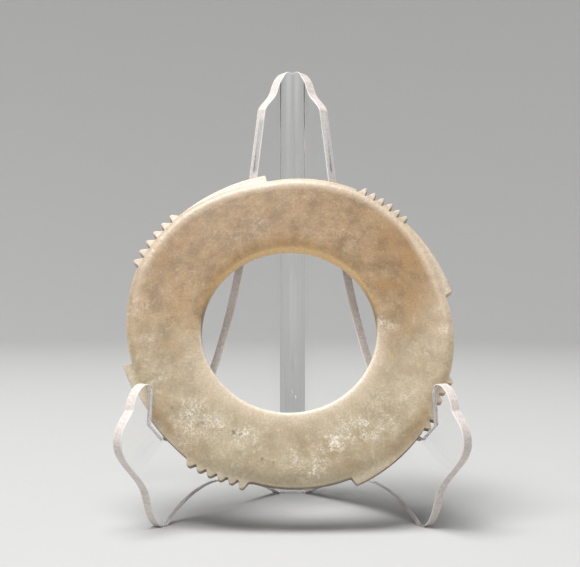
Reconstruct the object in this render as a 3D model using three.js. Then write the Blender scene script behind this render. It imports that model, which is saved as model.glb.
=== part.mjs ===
// A notched and toothed jade disc that leans in a clear easel bent from one sheet.
// Millimetres, +Z up. The disc's face looks towards -Y and the origin lies on the ground, midway
// between the easel's front and its fold.
import * as THREE from "three";

// Disc: measured in its own plane, from the middle of its rim. Angles are in degrees.
const discThickness = 4.6;
const discOffset = -0.6;
const discLean = 23.75;
const holeRadius = 25.45;
const holeOffset = -0.35;
const holeDrop = 1.0;
const holeEdge = 0.4;
const frontBevel = { width: 2.4, depth: 0.9 };
const backBevel = { width: 1.4, depth: 0.6 };
const bevelSoftening = 0.35;
const rimStep = 2.6;

// Horns, clockwise as seen from the front. `radius` is the tip, `step` the drop behind it, and
// `cut` how far clockwise of the tip the foot of that drop lies. A negative cut hooks the horn.
const topHorn = { angle: 98.8, radius: 50.4, step: 2.6, cut: 0.2 };
const rightHorn = { angle: 12.2, radius: 48.8, step: 2.4, cut: 0.9 };
const lowerHorn = { angle: -68.8, radius: 50.1, step: 2.5, cut: 0.8 };
const leftHorn = { angle: -165.6, radius: 49.35, step: 2.6, cut: -0.7 };
const hornRoom = 1.8;
const tipLead = 0.8;
const footLead = -0.1;

// Teeth, clockwise: `from` is the first tip and `pitch` the angle from tip to tip. The rim runs from
// radius `start` to `end` under a group, and `rise` and `root` are measured out from that line.
const upperRightTeeth = { from: 62.6, pitch: 3.56, start: 49.05, end: 48.2, rise: 1.75, root: -0.5 };
const lowerRightTeeth = { from: -20.9, pitch: 3.5, start: 47.8, end: 48.5, rise: 1.35, root: -0.1 };
const lowerLeftTeeth = { from: -105.6, pitch: 3.68, start: 46.95, end: 48.4, rise: 1.75, root: 0.6 };
const upperLeftTeeth = { from: -203.6, pitch: 4.12, start: 49.0, end: 49.1, rise: 2.05, root: 0.3 };
const teethPerGroup = 6;
const toothShares = { rootWidth: 0.88, tipWidth: 0.22 };
const teethRoom = { before: 1, after: 0.5 };

// How far the rim swells past a straight run of radii before each group of teeth, and after it.
const upperRightSwell = { before: 0.27, after: -0.25 };
const lowerRightSwell = { before: 0.15, after: 0.05 };
const lowerLeftSwell = { before: 0.25, after: -0.6 };
const upperLeftSwell = { before: -0.12, after: -0.17 };

// Easel: one sheet folded along an upright line. `out` runs along a wing from the fold, `up` from
// the ground.
const sheet = 3.2;
const wingAngle = 36;
const foldRadius = 3.5;
const foldSteps = 10;
const curveSteps = 12;
const gap = 0.3;
const posePasses = 30;

const crown = { up: 136.7, peakOut: 2, dip: 0.6, fall: 1.8 };
const neck = { out: 8.1, up: 129.9 };
const shoulderUp = 122.8;
const restLean = 0.2;
const seatUp = 23.9;
const lip = { out: 65.9, base: 28.9, up: 40.3, width: 7.0, neckUp: 33.6, draft: 0.7, rounding: 3.3 };
const lipPeakShare = 0.23;
const bulge = { out: 77.4, up: 25.1 };
const waist = { out: 66.8, up: 9.6 };
const toe = { out: 61.4, up: 0, flat: 2.2 };
const arch = { out: 38, up: 8.9 };
const heel = { out: 6.3, up: 0 };

const rad = THREE.MathUtils.degToRad;
const wingSin = Math.sin(rad(wingAngle));
const wingCos = Math.cos(rad(wingAngle));
const leanSin = Math.sin(rad(discLean));
const leanCos = Math.cos(rad(discLean));

const jade = new THREE.MeshStandardMaterial({ color: 0xcdb996, roughness: 0.38, metalness: 0 });
const acrylic = new THREE.MeshStandardMaterial({
  color: 0xdfe3e6,
  roughness: 0.12,
  metalness: 0,
  transparent: true,
  opacity: 0.35,
});

const horns = [
  { ...topHorn, teeth: upperRightTeeth, swell: upperRightSwell },
  { ...rightHorn, teeth: lowerRightTeeth, swell: lowerRightSwell },
  { ...lowerHorn, teeth: lowerLeftTeeth, swell: lowerLeftSwell },
  { ...leftHorn, teeth: upperLeftTeeth, swell: upperLeftSwell },
];

// A radius part of the way along a stretch of rim that swells by `swell` at its middle.
function swollen(near, far, share, swell) {
  return near + (far - near) * share + 4 * swell * share * (1 - share);
}

// The rim as points { angle, spoke, body, rim }: `body` leaves out the horns and teeth. Everything
// inside the rim is joined to the point along `spoke`, which keeps the faces flat behind a hooked
// horn.
function rimPoints() {
  const points = [];
  horns.forEach((horn, index) => {
    const next = horns[(index + 1) % horns.length];
    const span = (horn.angle - next.angle + 360) % 360;
    const foot = horn.radius - horn.step;
    const footAngle = horn.angle - horn.cut;
    const { from, pitch, start, end, rise, root } = horn.teeth;
    const teethStart = horn.angle - from - pitch / 2;
    const teethEnd = teethStart + teethPerGroup * pitch;
    const halfRoot = toothShares.rootWidth * pitch / 2;
    const halfTip = toothShares.tipWidth * pitch / 2;

    const add = (turned, body, rim) => {
      const angle = rad(horn.angle - turned);
      points.push({ angle, spoke: angle, body, rim });
    };
    const addHorn = (angle, lead, radius) => {
      const spoke = rad(Math.max(horn.angle, footAngle) + lead);
      points.push({ angle: rad(angle), spoke, body: foot, rim: radius });
    };
    const addTooth = (turned, lift) => {
      const body = swollen(start, end, (turned - teethStart) / (teethEnd - teethStart), 0);
      add(turned, body, body + lift);
    };

    addHorn(horn.angle, tipLead, horn.radius);
    addHorn(footAngle, footLead, foot);
    for (let turned = rimStep; turned < teethStart - teethRoom.before; turned += rimStep) {
      const body = swollen(foot, start, turned / teethStart, horn.swell.before);
      add(turned, body, body);
    }
    for (let tooth = 0; tooth < teethPerGroup; tooth++) {
      const tip = teethStart + (tooth + 0.5) * pitch;
      addTooth(tip - halfRoot, root);
      addTooth(tip - halfTip, rise);
      addTooth(tip + halfTip, rise);
      addTooth(tip + halfRoot, root);
    }
    for (let turned = teethEnd + teethRoom.after; turned < span - hornRoom; turned += rimStep) {
      const share = (turned - teethEnd) / (span - teethEnd);
      const body = swollen(end, next.radius - next.step, share, horn.swell.after);
      add(turned, body, swollen(end, next.radius, share, horn.swell.after));
    }
  });
  return points;
}
const rim = rimPoints();

// The disc's cross-section as rings round it: on the rim, a distance in from it, or at the hole.
const discRings = [
  { inset: frontBevel.width, depth: 0 },
  { inset: frontBevel.width * bevelSoftening, depth: frontBevel.depth * bevelSoftening },
  { depth: frontBevel.depth },
  { depth: discThickness - backBevel.depth },
  { inset: backBevel.width, depth: discThickness },
  { hole: holeRadius + holeEdge, depth: discThickness },
  { hole: holeRadius, depth: discThickness - holeEdge },
  { hole: holeRadius, depth: holeEdge },
  { hole: holeRadius + holeEdge, depth: 0 },
];

function ringPoint({ inset, hole, depth }, point) {
  const onRim = !inset && !hole;
  const radius = hole ?? (onRim ? point.rim : point.body - inset);
  const angle = onRim ? point.angle : point.spoke;
  const middle = hole ? { x: holeOffset, z: -holeDrop } : { x: 0, z: 0 };
  return new THREE.Vector3(
    radius * Math.cos(angle) + middle.x,
    depth,
    radius * Math.sin(angle) + middle.z,
  );
}

// Joins rings of equal length into a closed tube of triangles.
function ringsGeometry(rings) {
  const count = rings[0].length;
  const positions = rings.flat().flatMap((point) => point.toArray());
  const index = [];
  rings.forEach((ring, r) => {
    const nextRing = (r + 1) % rings.length;
    for (let i = 0; i < count; i++) {
      const j = (i + 1) % count;
      const [a, b, c, d] = [r * count + i, r * count + j, nextRing * count + j, nextRing * count + i];
      index.push(a, b, c, a, c, d);
    }
  });
  return trianglesGeometry(positions, index);
}

function trianglesGeometry(positions, index) {
  const geometry = new THREE.BufferGeometry();
  geometry.setAttribute("position", new THREE.Float32BufferAttribute(positions, 3));
  geometry.setIndex(index);
  geometry.computeVertexNormals();
  return geometry;
}

function discGeometry() {
  return ringsGeometry(discRings.map((ring) => rim.map((point) => ringPoint(ring, point))));
}

// How far the disc's rim reaches below its middle, at or beyond `across` on either side.
function rimDrop(across) {
  let drop = 0;
  rim.forEach((point, i) => {
    const next = rim[(i + 1) % rim.length];
    const [a, b] = [point, next].map((p) => ({
      x: Math.abs(discOffset + p.rim * Math.cos(p.angle)),
      z: p.rim * Math.sin(p.angle),
    }));
    if (a.x >= across) {
      drop = Math.max(drop, -a.z);
    }
    if ((a.x - across) * (b.x - across) < 0) {
      const share = (across - a.x) / (b.x - a.x);
      drop = Math.max(drop, -(a.z + (b.z - a.z) * share));
    }
  });
  return drop;
}

// The disc's pose: its face just clears the lips and its rim just clears the seats. Where the rim
// meets the seats depends on the pose, so each pass starts from the last one's.
function seatDisc() {
  const faceAtLip = (lip.out - gap) * wingCos - sheet * wingSin;
  const rimDepth = discThickness - backBevel.depth;
  const pose = { forward: faceAtLip, up: seatUp + holeRadius };
  let rimForward = faceAtLip;
  for (let pass = 0; pass < posePasses; pass++) {
    const drop = rimDrop(rimForward * wingSin / wingCos);
    pose.up = seatUp + gap + drop * leanCos + rimDepth * leanSin;
    pose.forward = faceAtLip - (pose.up - lip.base) * leanSin / leanCos;
    rimForward = pose.forward + drop * leanSin - rimDepth * leanCos;
  }
  pose.seatOut = rimForward / wingCos;
  return pose;
}
const pose = seatDisc();

// Where the disc's back meets the wings' upper edges.
function restPoint() {
  const reach = horns[0].radius - horns[0].step - backBevel.width;
  const up = pose.up + reach * leanCos - discThickness * leanSin;
  const forward = pose.forward - reach * leanSin - discThickness * leanCos;
  return { out: (forward - gap) / wingCos, up };
}
const rest = restPoint();

const foldTurn = rad(90 - wingAngle);
const foldHalf = (foldRadius + sheet / 2) * foldTurn;

// One wing's outline, from the top of the fold round to its foot. `leave` and `arrive` are the
// handles of a curved stretch at its two ends, each a heading in degrees and a share of its chord.
function wingOutline() {
  const foldTop = { out: foldHalf, up: crown.up - crown.fall };
  const shoulder = { out: rest.out - restLean * (shoulderUp - rest.up), up: shoulderUp };
  const seat = { out: pose.seatOut, up: seatUp };
  const lipBase = { out: lip.out, up: lip.base };
  const lipInside = { out: lip.out - lip.draft, up: lip.up - lip.rounding };
  const lipTop = { out: lip.out + lip.width * lipPeakShare, up: lip.up };
  const lipNeck = { out: lip.out + lip.width, up: lip.neckUp };
  const instep = { out: toe.out - toe.flat, up: 0 };
  const stretches = [
    { to: neck, leave: [-38, 0.19], arrive: [114, 0.57] },
    { to: shoulder, leave: [-66.5, 0.35], arrive: [121, 0.35] },
    { to: rest },
    { to: seat, leave: [-78.1, 0.45], arrive: [175.7, 0.239] },
    { to: lipBase, leave: [44, 0.33], arrive: [-140, 0.33] },
    { to: lipInside },
    { to: lipTop, leave: [98, 0.5], arrive: [180, 0.42] },
    { to: lipNeck, leave: [0, 0.29], arrive: [99.5, 0.42] },
    { to: bulge, leave: [-63.5, 0.16], arrive: [90, 0.47] },
    { to: waist, leave: [-90, 0.314], arrive: [72, 0.313] },
    { to: toe, leave: [-107, 0.38], arrive: [23.5, 0.32] },
    { to: instep },
    { to: arch, leave: [135.6, 0.286], arrive: [0, 0.348] },
    { to: heel, leave: [180, 0.304], arrive: [28.6, 0.266] },
    { to: { out: foldHalf, up: 0 } },
  ];
  const handle = ({ out, up }, [heading, share], chord) => [
    out + share * chord * Math.cos(rad(heading)),
    up + share * chord * Math.sin(rad(heading)),
  ];
  const path = new THREE.Path();
  path.moveTo(foldTop.out, foldTop.up);
  let from = foldTop;
  for (const { to, leave, arrive } of stretches) {
    if (leave) {
      const chord = Math.hypot(to.out - from.out, to.up - from.up);
      const near = handle(from, leave, chord);
      const far = handle(to, arrive, chord);
      path.bezierCurveTo(...near, ...far, to.out, to.up);
    } else {
      path.lineTo(to.out, to.up);
    }
    from = to;
  }
  return path.getPoints(curveSteps);
}

// Height of the two-lobed crown across the fold.
function crownHeight(out) {
  if (out < crown.peakOut) {
    return crown.up - crown.dip * (1 - out / crown.peakOut) ** 2;
  }
  return crown.up - crown.fall * ((out - crown.peakOut) / (foldHalf - crown.peakOut)) ** 2;
}

// Takes a point of the flat sheet to its place on the folded one.
function folded(point, depth) {
  const side = Math.sign(point.x) || 1;
  const out = Math.abs(point.x);
  const radius = foldRadius + depth;
  if (out <= foldHalf) {
    const turned = (out / foldHalf) * foldTurn;
    const forward = foldRadius / wingSin - radius * Math.cos(turned);
    return new THREE.Vector3(side * radius * Math.sin(turned), -forward, point.y);
  }
  const along = foldRadius * wingCos / wingSin + out - foldHalf;
  const forward = along * wingCos - depth * wingSin;
  return new THREE.Vector3(side * (along * wingSin + depth * wingCos), -forward, point.y);
}

function easelGeometry() {
  const wing = wingOutline();
  const side = wing.slice(1, -1);
  const columns = [];
  for (let i = -foldSteps; i <= foldSteps; i++) {
    columns.push(foldHalf * i / foldSteps);
  }
  const top = columns.map((x) => new THREE.Vector2(x, crownHeight(Math.abs(x))));
  const bottom = columns.map((x) => new THREE.Vector2(-x, 0));
  const mirrored = side.map((p) => new THREE.Vector2(-p.x, p.y)).reverse();
  const outline = [...top, ...side, ...bottom, ...mirrored];
  const count = outline.length;
  const last = columns.length - 1;
  const bottomStart = columns.length + side.length;
  const faces = [];

  const addWing = (indices) => {
    const contour = indices.map((i) => outline[i]);
    for (const triangle of THREE.ShapeUtils.triangulateShape(contour, [])) {
      faces.push(triangle.map((corner) => indices[corner]));
    }
  };
  const range = (from, to) => Array.from({ length: to - from + 1 }, (_, i) => from + i);
  addWing(range(last, bottomStart));
  addWing([...range(bottomStart + last, count - 1), 0]);
  for (let i = 0; i < last; i++) {
    const below = bottomStart + last - i;
    faces.push([i, below, below - 1], [i, below - 1, i + 1]);
  }

  const positions = [0, sheet].flatMap((depth) => outline.flatMap((p) => folded(p, depth).toArray()));
  const index = [];
  for (const face of faces) {
    const [a, b, c] = face.map((i) => outline[i]);
    const anticlockwise = (b.x - a.x) * (c.y - a.y) - (b.y - a.y) * (c.x - a.x) > 0;
    const [i, j, k] = anticlockwise ? face : [face[0], face[2], face[1]];
    index.push(i, j, k, i + count, k + count, j + count);
  }
  for (let i = 0; i < count; i++) {
    const j = (i + 1) % count;
    index.push(i, j, j + count, i, j + count, i + count);
  }
  return trianglesGeometry(positions, index);
}

const disc = new THREE.Mesh(discGeometry(), jade);
disc.name = "jade_disc";
const leaning = new THREE.Group();
leaning.position.set(discOffset, -pose.forward, pose.up);
leaning.rotation.x = -rad(discLean);
leaning.add(disc);

const easel = new THREE.Mesh(easelGeometry(), acrylic);
easel.name = "acrylic_easel";

const frontY = folded(new THREE.Vector2(bulge.out, bulge.up), 0).y;
const foldY = folded(new THREE.Vector2(0, 0), sheet).y;
const standing = new THREE.Group();
standing.position.y = -(frontY + foldY) / 2;
standing.add(easel, leaning);

const part = new THREE.Group();
part.add(standing);

export default part;
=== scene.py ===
"""A notched and toothed jade disc leaning in a clear bent easel, dressed round its solids."""
import math

import bpy
import numpy as np
from bpy.props import FloatProperty, FloatVectorProperty, PointerProperty
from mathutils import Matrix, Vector, noise


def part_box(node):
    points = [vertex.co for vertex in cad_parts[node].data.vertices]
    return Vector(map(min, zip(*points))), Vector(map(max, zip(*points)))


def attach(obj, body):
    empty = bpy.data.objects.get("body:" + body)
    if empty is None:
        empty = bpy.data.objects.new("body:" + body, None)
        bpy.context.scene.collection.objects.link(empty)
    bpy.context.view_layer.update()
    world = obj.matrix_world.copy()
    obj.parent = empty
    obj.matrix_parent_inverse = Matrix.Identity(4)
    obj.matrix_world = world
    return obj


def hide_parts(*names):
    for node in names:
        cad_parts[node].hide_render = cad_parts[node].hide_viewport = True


bl_info = {
    "name": "Jade disc on easel",
    "version": (1, 0, 0),
    "blender": (4, 5, 0),
    "location": "View3D > Sidebar > Jade disc",
    "description": "Builds a toothed jade disc and the clear easel that it leans in",
    "category": "Object",
}

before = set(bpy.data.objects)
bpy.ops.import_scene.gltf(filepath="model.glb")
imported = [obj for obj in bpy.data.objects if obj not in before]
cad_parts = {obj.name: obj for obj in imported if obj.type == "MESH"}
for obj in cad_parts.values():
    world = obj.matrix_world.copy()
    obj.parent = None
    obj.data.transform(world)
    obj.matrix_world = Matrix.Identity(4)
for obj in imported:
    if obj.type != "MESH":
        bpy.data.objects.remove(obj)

MM = 0.001

# The disc's outline, clockwise as seen from the front. Angles are in degrees, lengths in mm.
# Horns: angle and radius of the tip, drop behind it, degrees from the tip to the drop's foot.
HORNS = (
    (98.8, 50.4, 2.6, 0.2),
    (12.2, 48.8, 2.4, 0.9),
    (-68.8, 50.1, 2.5, 0.8),
    (-165.6, 49.35, 2.6, -0.7),
)
# The teeth after each horn: first tip, pitch, rim radius at their start and end, rise, root, how
# far the tips stand clockwise of their roots and how wide they are, as shares of the pitch.
TEETH = (
    (62.6, 3.56, 49.05, 48.2, 1.85, -1.1, 0.16, 0.28),
    (-20.9, 3.5, 47.8, 48.5, 1.35, -0.2, 0.1, 0.3),
    (-105.6, 3.68, 46.95, 48.4, 1.8, 0.4, 0.02, 0.34),
    (-203.6, 4.12, 49.0, 49.1, 2.15, -0.3, -0.13, 0.26),
)
# How far the rim swells past a straight run of radii before each group of teeth, and after it.
SWELLS = ((0.27, -0.25), (0.15, 0.05), (0.25, -0.6), (-0.12, -0.17))
TEETH_PER_GROUP = 6
# How much taller, in mm, the first tooth of each group is.
FIRST_TOOTH_RISE = (0.0, 0.0, 0.7, 0.0)
# Width of a tooth at its root, as a share of the pitch.
ROOT_WIDTH = 0.9
# Degrees of rim left free before and after each group of teeth, and before each horn.
TEETH_BEFORE, TEETH_AFTER, HORN_ROOM = 1.0, 0.5, 1.8
# Degrees by which the spokes to a horn's tip and foot are turned, to keep them apart.
TIP_LEAD, FOOT_LEAD = 0.8, -0.1
# Degrees between points of the plain rim, and the widest gap in the outline in mm.
RIM_STEP, POINT_SPACING = 0.7, 0.46

# How far each kind of corner is rounded, in mm.
HORN_ROUNDING, FOOT_ROUNDING, TIP_ROUNDING, ROOT_ROUNDING = 0.55, 0.5, 0.6, 0.3
# Points on a rounded corner, and the largest share that it takes of the edges beside it.
ROUNDING_STEPS, ROUNDING_SHARE = 5, 0.46

# The hole's worn front edge: distance out from the hole's wall and depth behind the face, in mm.
HOLE_LIP = (
    (0.0, 1.0), (0.05, 0.74), (0.16, 0.54), (0.35, 0.39), (0.7, 0.26), (1.2, 0.16), (1.9, 0.08),
    (2.7, 0.03), (3.5, 0.0),
)
# Rings of points over the flat face, the bevels, the small edges, the walls and the back.
FACE_RINGS, BEVEL_RINGS, EDGE_RINGS, WALL_RINGS, BACK_RINGS = 19, 8, 4, 5, 8
# The bevels' curve, and how steeply horns and teeth fall on beyond it.
BEVEL_POWER, TOOTH_FALL = 1.9, 0.35
# Over the lower half the front bevel is rubbed softer: how much wider it gets, and its curve there.
LOWER_SPREAD, LOWER_POWER = 0.5, 1.35
# How far below level a spoke points where that starts and where it is full, from 0 to 1.
LOWER_BEVEL = (0.1, 0.6)
# The hole's edge at the back, as a multiple of the rim's small edge.
BACK_HOLE_EDGE = 1.5

# Nibbles round the hole: how many, their seed, their share of the chips' depth, and in mm how far
# the largest reaches and how far back they go.
HOLE_NIBBLES, NIBBLE_SEED, NIBBLE_SHARE, NIBBLE_REACH, NIBBLE_BACK = 26, 5, 0.5, 0.9, 1.6
# Nibbles along the rim: radii in mm over which they grow, the noise that they need, and their gain.
RIM_NIBBLES, RIM_NOISE_ABOVE, RIM_NIBBLE_GAIN = (44.5, 46.0), 0.66, 2.4

# Heights up the disc's face, in mm, between which its colour turns from pale to brown.
PALE_BELOW, BROWN_ABOVE = -30.0, 22.0
# Height from which thin grey marks wind over the face, and height where they are strongest.
MARKS_FROM, MARKS_FULL = 20.0, 34.0

# Stains on the front, in mm across and up the disc from its middle: x, z, radius, strength.
WARM_STAINS = (
    (31.0, 27.0, 6.0, 0.75), (36.0, 20.0, 6.5, 0.8), (29.5, 12.5, 4.0, 1.0), (35.0, 10.0, 6.0, 0.8),
    (33.0, 2.5, 5.0, 0.45), (28.5, -7.0, 4.0, 0.4), (-4.5, 27.0, 3.6, 0.75), (3.0, 24.5, 4.5, 0.7),
    (-5.5, 35.0, 4.0, 0.5), (-14.0, 38.0, 7.0, 0.3), (-32.0, 27.0, 5.0, 0.5), (-38.0, 19.0, 3.4, 0.6),
    (-38.5, 24.0, 3.0, 0.4), (-33.5, 4.0, 4.5, 0.35), (-36.0, -6.0, 2.6, 0.5), (-31.5, -9.0, 3.0, 0.3),
    (-36.5, -26.0, 4.0, 0.55), (-34.0, -31.5, 3.4, 0.6), (-29.0, -37.5, 3.4, 0.4),
    (34.5, -31.5, 3.6, 0.6), (38.5, -27.5, 2.6, 0.6), (28.0, -37.0, 4.0, 0.35),
    (10.5, -37.3, 1.8, 0.7), (19.0, -35.0, 2.0, 0.5), (17.0, -41.0, 4.0, 0.35), (1.0, -34.0, 3.2, 0.3),
    (22.0, 34.0, 6.0, 0.3), (8.0, 40.0, 7.0, 0.25), (-24.0, 20.0, 4.0, 0.25),
)
CHALK_STAINS = (
    (-26.5, -28.5, 6.5, 0.6), (-21.0, -31.0, 5.0, 0.5), (-12.8, -33.8, 4.6, 0.65),
    (-28.5, -34.5, 4.5, 0.4), (11.8, -35.0, 2.6, 1.0), (15.5, -31.8, 5.0, 0.65),
    (21.5, -31.3, 5.0, 0.6), (27.5, -29.0, 4.0, 0.4), (6.0, -42.0, 5.0, 0.55), (1.0, -40.0, 4.5, 0.4),
    (7.5, -37.0, 3.5, 0.4), (27.8, -0.5, 3.0, 0.42), (44.8, -2.5, 2.6, 0.6), (40.5, -8.0, 5.0, 0.35),
    (43.5, 3.5, 3.5, 0.4), (-44.5, 5.0, 3.4, 0.35), (-41.0, -6.0, 4.0, 0.3), (-38.0, -17.5, 5.0, 0.35),
    (24.0, -23.0, 6.0, 0.35), (33.0, -21.0, 5.0, 0.4), (47.0, -15.5, 2.4, 0.9), (19.0, 26.5, 4.0, 0.25),
    (6.0, 29.0, 3.0, 0.25), (-10.0, 32.0, 4.5, 0.3),
)
# Paler stretches of the face: x, z, reach across, reach up, strength.
PALE_FLANKS = ((44.0, -2.0, 7.0, 17.0, 0.5), (34.0, -17.0, 12.0, 14.0, 0.34))
# Small dark inclusions: x, z, radius, all in mm, and in mm how soft and ragged their edges are.
SPECKS = (
    (-15.6, -32.4, 0.55), (-13.7, -32.9, 0.4), (-24.2, -29.6, 0.3), (-33.0, -25.3, 0.32),
    (-7.7, -39.8, 0.28), (-4.6, -40.8, 0.25), (6.4, -46.2, 0.25), (-29.5, 25.6, 0.35),
)
SPECK_CORE, SPECK_HALO, SPECK_RAGGED = 0.25, 1.15, 1.3

# Where light and wear change the stone. Each pair is where it starts and where it is full, in mm.
# Heights of the upper and the lower half.
UPPER_HALF, LOWER_HALF = (2.0, 14.0), (2.0, -12.0)
# Reach from the hole's wall of the painted glow in it, the painted glow tint on the face, the painted
# highlight line and the painted highlight band.
GLOW_REACH, HONEY_REACH, LINE_REACH, BAND_REACH = 0.6, 2.0, 0.55, 5.0
GLOW_DEPTH = 0.6
# Bevel's pale band, partly wear and partly painted highlight: places inward of the rim, heights, places
# across, and depth behind the face.
BEVEL_BAND, BEVEL_HEIGHTS, BEVEL_HIGH = (-4.4, -1.8), (-25.0, 5.0), (0.0, 20.0)
BEVEL_LEFT, UPPER_LEFT, BEVEL_DEPTHS = (-46.0, -34.0), (0.0, -25.0), (1.6, 0.6)
# Horns and teeth: how far they stand out, and between which places across the lower ones get less
# painted highlight.
TIPS, WHITE_TIPS = (0.0, 1.5), (0.4, 1.6)
LESS_LIT_LEFT, LESS_LIT_RIGHT = (-40.0, -32.0), (44.0, 41.0)
# The pale line round the rim, partly wear and partly painted highlight: its least radius, its depth and
# its half width.
RIM_FROM, RIM_LINE_DEPTH, RIM_LINE_REACH = 43.0, 1.0, 0.25
# Painted shade: radii and depths on the rim's wall, radii on the face, middle and reach across, heights.
WALL_RADII, WALL_DEPTHS, LOW_RADII = (43.0, 45.0), (0.9, 1.5), (41.0, 47.0)
LOW_MIDDLE, LOW_REACH, SHADED_HEIGHTS = -2.0, 20.0, (-12.0, -28.0)

# Features per metre of the stone's noises, from the widest clouds to the finest grain.
BROAD_CLOUDS, CLOUDS, CLOTS, WINDING_MARKS, CURDS = 85, 240, 330, 420, 520
WORMS, CRUMBS, DOTS, FINE_GRAIN = 620, 700, 850, 1500
# The same for the easel's haze, its waves, the saw's marks and the flecks in the cut edges, and for
# the paper of the floor.
HAZE, WAVES, SAW_MARKS, FLECKS, PAPER = 55, 28, 1400, 1300, 900
JADE_IOR, ACRYLIC_IOR = 1.6, 1.49

# The easel's outline. `out` runs along a wing from the fold, `up` from the ground, in mm.
# Stretches of one wing: end point, then heading in degrees and share of the chord for the two
# handles of a curved stretch.
WING = (
    ((8.1, 129.9), (-38, 0.19), (114, 0.57)),
    ((14.558, 122.8), (-66.5, 0.35), (121, 0.35)),
    ((19.756, 96.813), None, None),
    ((60.43, 23.9), (-78.1, 0.45), (175.7, 0.239)),
    ((65.9, 28.9), (44, 0.33), (-140, 0.33)),
    ((65.2, 37.0), None, None),
    ((67.51, 40.3), (98, 0.5), (180, 0.42)),
    ((72.9, 33.6), (0, 0.29), (99.5, 0.42)),
    ((77.4, 25.1), (-63.5, 0.16), (90, 0.47)),
    ((66.8, 9.6), (-90, 0.314), (72, 0.313)),
    ((61.4, 0.0), (-107, 0.38), (23.5, 0.32)),
    ((59.2, 0.0), None, None),
    ((38.0, 8.9), (135.6, 0.286), (0, 0.348)),
    ((6.3, 0.0), (180, 0.304), (28.6, 0.266)),
)
# Steps round each half of the fold, spacing of points along the outline, and how much longer than
# its chord a curve is taken to be.
FOLD_STEPS, CURVE_SPACING, ARC_OVER_CHORD = 44, 0.45, 1.05
# Distance between saw marks in mm, and height up to which the edge stands on the ground, unmarked.
SAW_PITCH, ON_GROUND = 0.9, 0.05
# The crown's two lobes: where they peak, the dip between them and their fall to the side, in mm.
CROWN_PEAK_OUT, CROWN_DIP, CROWN_FALL = 2.0, 0.6, 1.8
# The stretch of the cut edges, in mm above the ground, that is flame-polished and so clear.
POLISHED_FROM, POLISHED_TO, POLISH_FADE = 101.0, 121.5, 2.5
# The slot that the disc stands in is partly clear too: its bounds out from the fold and up, in mm.
SLOT_FROM, SLOT_TO, SLOT_LOW, SLOT_HIGH = 59.0, 66.6, 20.0, 39.0
SLOT_POLISH = 0.75

# Rings and sides of the floor's curve.
SWEEP_STEPS, SWEEP_SIDES = 24, 128

# Lights: name, place, size in metres and power in watts. All look at the same point.
LIT_POINT = (0.0, 0.0, 0.06)
LIGHTS = (
    ("top_softbox", (-0.30, -0.25, 1.5), 1.0, 40.0),
    ("front_fill", (-0.1, -0.85, 0.35), 0.6, 0.9),
)
SURROUNDINGS, SURROUNDINGS_STRENGTH = (0.80, 0.81, 0.82, 1), 0.16

# The photograph is this wide in pixels, and its subject stands this far off the middle.
PHOTO_WIDTH = 580
LEFT_OF_MIDDLE, BELOW_MIDDLE = 2.5, 0.5
SENSOR_WIDTH, NEAREST = 36, 0.01


def length(name, default, description):
    """A length in metres that a user can change."""
    return FloatProperty(
        name=name, description=description, default=default, unit="LENGTH", min=0.0, precision=5
    )


def colour(name, default, description):
    """A plain linear colour that a user can change."""
    return FloatVectorProperty(
        name=name, description=description, default=default, subtype="COLOR", size=3, min=0, max=1
    )


class JadeDiscSettings(bpy.types.PropertyGroup):
    """Sizes and colours of the jade disc."""

    thickness: length("Thickness", 4.6 * MM, "Thickness of the stone")
    lean: FloatProperty(
        name="Lean",
        description="Angle by which the disc leans back",
        default=math.radians(23.75),
        subtype="ANGLE",
        unit="ROTATION",
    )
    hole_radius: length("Hole radius", 25.45 * MM, "Radius of the hole")
    hole_drop: length("Hole drop", 1.0 * MM, "How far the hole sits below the rim's middle")
    hole_shift: length("Hole shift", 0.35 * MM, "How far the hole sits left of the rim's middle")
    front_bevel: length("Front bevel", 2.4 * MM, "Width of the rounding along the front rim")
    front_fall: length("Front fall", 0.9 * MM, "How far that rounding falls back")
    back_bevel: length("Back bevel", 1.4 * MM, "Width of the rounding along the back rim")
    back_fall: length("Back fall", 0.6 * MM, "How far the back's rounding falls")
    edge: length("Edge", 0.28 * MM, "Radius of the small edge along the rim's wall")
    tooling: length("Tooling", 0.035 * MM, "Depth of the hand-worked waviness of the faces")
    chips: length("Chips", 0.16 * MM, "Depth of the nibbles along the edges")
    cream: colour("Cream", (0.395, 0.325, 0.21), "Lightest tone of the pale lower half")
    straw: colour("Straw", (0.30, 0.24, 0.145), "Darkest tone of the pale lower half")
    buff: colour("Buff", (0.325, 0.206, 0.092), "Lightest tone of the brown upper half")
    brown: colour("Brown", (0.205, 0.121, 0.048), "Darkest tone of the brown upper half")
    # Also tints the painted glow of light shining through beside the top of the hole.
    warm_stain_and_glow: colour("Warm stain", (0.285, 0.15, 0.042), "Brown and orange stains")
    honey: colour("Honey", (0.95, 0.66, 0.33), "Light shining through at the top of the hole")
    # Colour of the painted shade on the rim's lower wall and along the bottom of the face.
    olive_shade: colour("Olive", (0.14, 0.11, 0.055), "Shaded wall of the rim's lower half")
    chalk: colour("Chalk", (0.66, 0.59, 0.49), "Whitened, altered patches")
    # Also the colour of painted highlights on the bevel, horns and teeth, and of paler curds in the
    # brown stone.
    rubbed_and_lit: colour("Rubbed", (0.57, 0.47, 0.35), "Paler stone along the rubbed edges")
    ash: colour("Ash", (0.17, 0.125, 0.08), "Thin grey marks near the top")
    speck: colour("Speck", (0.05, 0.04, 0.03), "Dark inclusions")


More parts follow.
